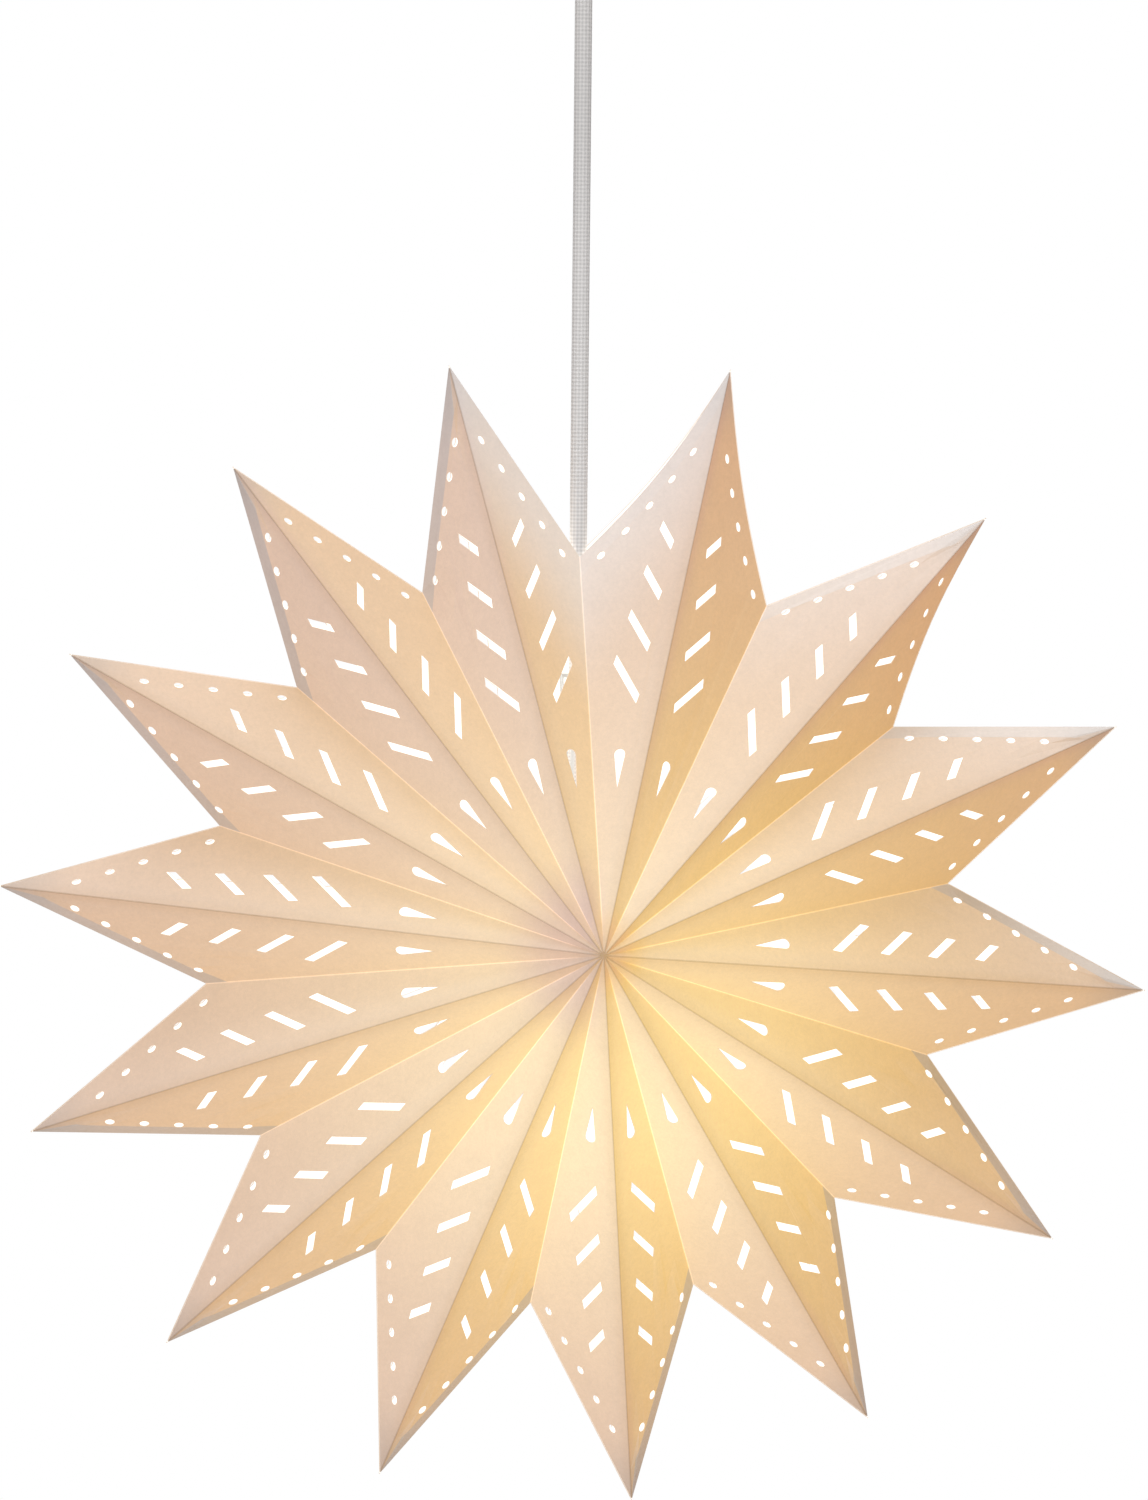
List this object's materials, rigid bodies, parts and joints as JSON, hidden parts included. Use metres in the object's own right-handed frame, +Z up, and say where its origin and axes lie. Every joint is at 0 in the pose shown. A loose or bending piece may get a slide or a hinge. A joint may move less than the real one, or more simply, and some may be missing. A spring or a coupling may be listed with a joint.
{
  "type": "moravian star pendant",
  "caption": "Folded paper star lantern with cut-out pattern, hung on a textile cord from a ceiling cup, lit from inside.",
  "frame": {"origin": "centre of the mounting bridge's top face, at the ceiling, on the cord's axis", "axes": "+Z up along the cord, the star's front faces -Y, +X to the right seen from the front"},
  "size_m": [0.4478, 0.139, 0.6638],
  "materials": {
    "paper": "matt, lit from inside",
    "textile_cord": "fine braid",
    "core_insulation": "smooth",
    "white_plastic": "satin",
    "grey_plastic": "matt",
    "ceramic": "glazed",
    "opal_glass": "opal, lit",
    "black_insulator": "gloss",
    "nickel": "bright nickel",
    "zinc_steel": "zinc plated",
    "spring_steel": "bright wire",
    "brass": "plain"
  },
  "bodies": {
    "ceiling": {"mounting_bridge": "zinc_steel", "ceiling_cup": "white_plastic", "cup_screws": "zinc_steel", "terminal_block": "grey_plastic", "cord_grip": "white_plastic", "grip_nut": "white_plastic", "grip_screw": "zinc_steel", "cord_top": "textile_cord", "cord_cores": "core_insulation"},
    "bend": {"cord_bend": "textile_cord"},
    "pendant": {"pendant_cord": "textile_cord", "holder_shell": "white_plastic", "lamp_insert": "ceramic", "clamp_screw": "zinc_steel", "centre_contact": "brass", "side_contact": "brass"},
    "bulb": {"bulb_glass": "opal_glass", "bulb_cap": "nickel", "bulb_insulator": "black_insulator", "bulb_contact": "brass"},
    "star": {"paper_point_01": "paper", "paper_point_02": "paper", "paper_point_03": "paper", "paper_point_04": "paper", "paper_point_05": "paper", "paper_point_06": "paper", "paper_point_07": "paper", "paper_point_08": "paper", "paper_point_09": "paper", "paper_point_10": "paper", "paper_point_11": "paper", "paper_point_12": "paper", "paper_point_13": "paper", "paper_point_14": "paper", "wire_bracket": "spring_steel", "seam_clips": "spring_steel"}
  },
  "joints": [
    {"name": "swing_side", "type": "hinge", "parent": "ceiling", "child": "bend", "pos_m": [0, 0, -0.0722], "axis": [0, 1, 0], "range_deg": [-15, 15]},
    {"name": "swing_front", "type": "hinge", "parent": "bend", "child": "pendant", "pos_m": [0, 0, -0.0722], "axis": [1, 0, 0], "range_deg": [-15, 15]},
    {"name": "star_turn", "type": "hinge", "parent": "pendant", "child": "star", "pos_m": [0, 0, -0.398], "axis": [0, 0, 1], "range_deg": [-180, 180]},
    {"name": "bulb_turn", "type": "hinge", "parent": "pendant", "child": "bulb", "pos_m": [0, 0, -0.44], "axis": [0, 0, 1], "range_deg": [-1080, 0]}
  ]
}
